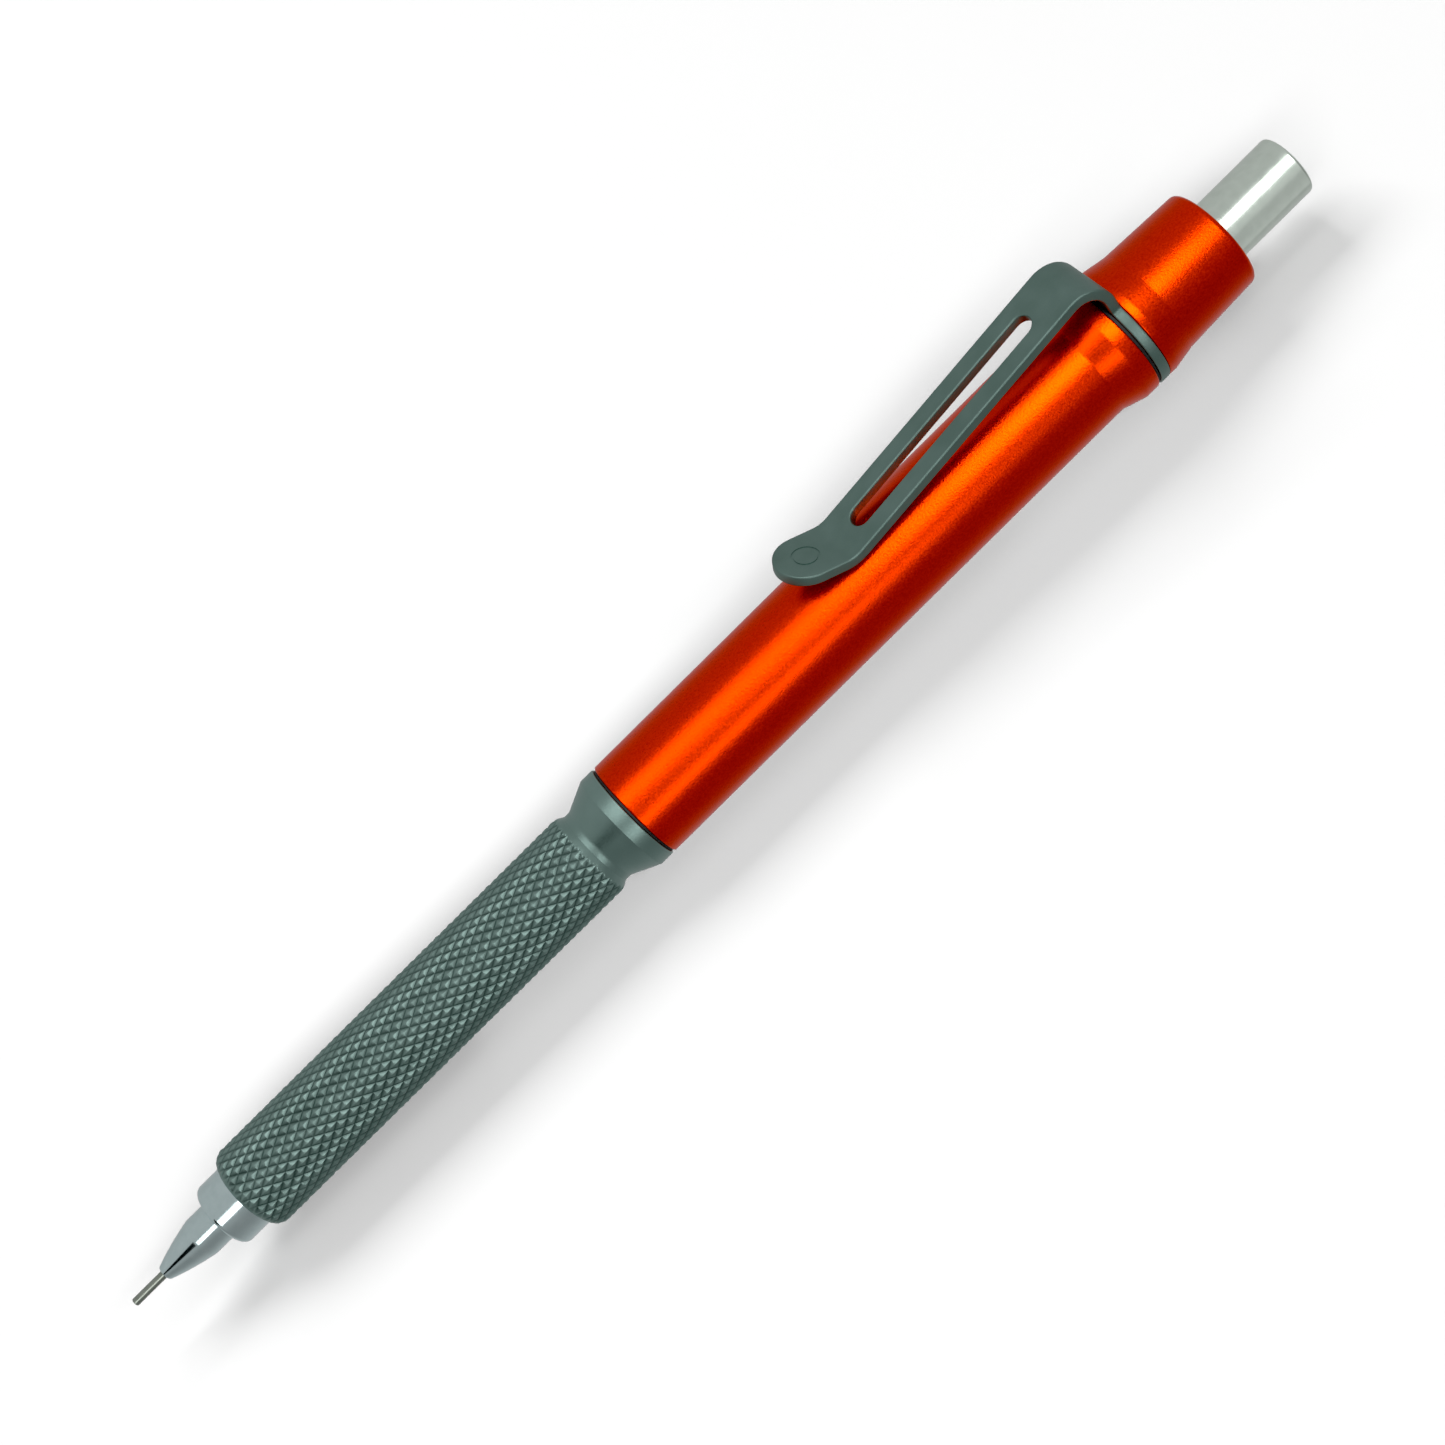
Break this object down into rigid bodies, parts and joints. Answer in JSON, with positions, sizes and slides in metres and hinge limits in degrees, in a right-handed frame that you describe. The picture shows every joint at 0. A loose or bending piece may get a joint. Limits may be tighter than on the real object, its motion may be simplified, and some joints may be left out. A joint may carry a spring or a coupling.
{
  "type": "push-button drafting pencil",
  "caption": "Drafting pencil with a thin guide sleeve, steel tip cone, knurled metal grip, orange barrel, slotted bent-plate clip and a sprung push button.",
  "frame": {"origin": "on the lowest line of the pencil, under the middle of its length", "axes": "+X along the pencil from the writing end to the push button, +Z from the axis towards the clip"},
  "size_m": [0.14, 0.0114, 0.0151],
  "materials": {
    "polished_steel": "turned and polished stainless steel",
    "satin_steel": "satin turned stainless steel with a polished flat end",
    "spring_steel": "drawn spring wire",
    "titanium": "grey bead-blasted titanium",
    "orange_aluminium": "orange anodised, bead-blasted satin aluminium",
    "brass": "turned brass",
    "black_rubber": "matt black rubber",
    "tube_plastic": "moulded plastic",
    "white_eraser": "soft white vinyl",
    "graphite": "polymer-bound graphite lead, slight sheen"
  },
  "bodies": {
    "barrel": {"grip": "titanium", "mechanism_sleeve": "brass", "front_seal": "black_rubber", "barrel": "orange_aluminium", "rear_seal": "black_rubber", "clip_ring": "titanium", "end_cap": "orange_aluminium", "return_spring": "spring_steel"},
    "tip": {"tip_cone": "polished_steel", "lead_sleeve": "polished_steel", "lead_retainer": "black_rubber"},
    "clip": {"clip_arm": "titanium"},
    "plunger": {"lead_tube": "tube_plastic", "chuck_connector": "tube_plastic", "chuck": "brass", "eraser": "white_eraser", "clean_out_pin": "polished_steel", "spare_leads": "graphite"},
    "button": {"knock_button": "satin_steel"},
    "clutch": {"clutch_ring": "brass"},
    "lead": {"writing_lead": "graphite"}
  },
  "joints": [
    {"name": "knock_press", "type": "slide", "parent": "barrel", "child": "plunger", "axis": [-1, 0, 0], "range_m": [0, 0.004], "stiffness_N_per_m": 500, "springref_m": -0.002, "deforming": ["return_spring"]},
    {"name": "button_pull", "type": "slide", "parent": "plunger", "child": "button", "axis": [1, 0, 0], "range_m": [0, 0.014]},
    {"name": "clutch_follow", "type": "slide", "parent": "barrel", "child": "clutch", "axis": [-1, 0, 0], "range_m": [0, 0.0006]},
    {"name": "lead_advance", "type": "slide", "parent": "barrel", "child": "lead", "axis": [-1, 0, 0], "range_m": [0, 0.0006]},
    {"name": "tip_unscrew", "type": "slide", "parent": "barrel", "child": "tip", "axis": [-1, 0, 0], "range_m": [0, 0.012]},
    {"name": "clip_flex", "type": "hinge", "parent": "barrel", "child": "clip", "pos_m": [0.0505, 0, 0.01155], "axis": [0, 1, 0], "range_deg": [0, 4], "stiffness_Nm_per_rad": 0.6}
  ],
  "couplings": [
    {"joint": "clutch_follow", "follows": "knock_press", "ratio": 0.15},
    {"joint": "lead_advance", "follows": "knock_press", "ratio": 0.15}
  ]
}
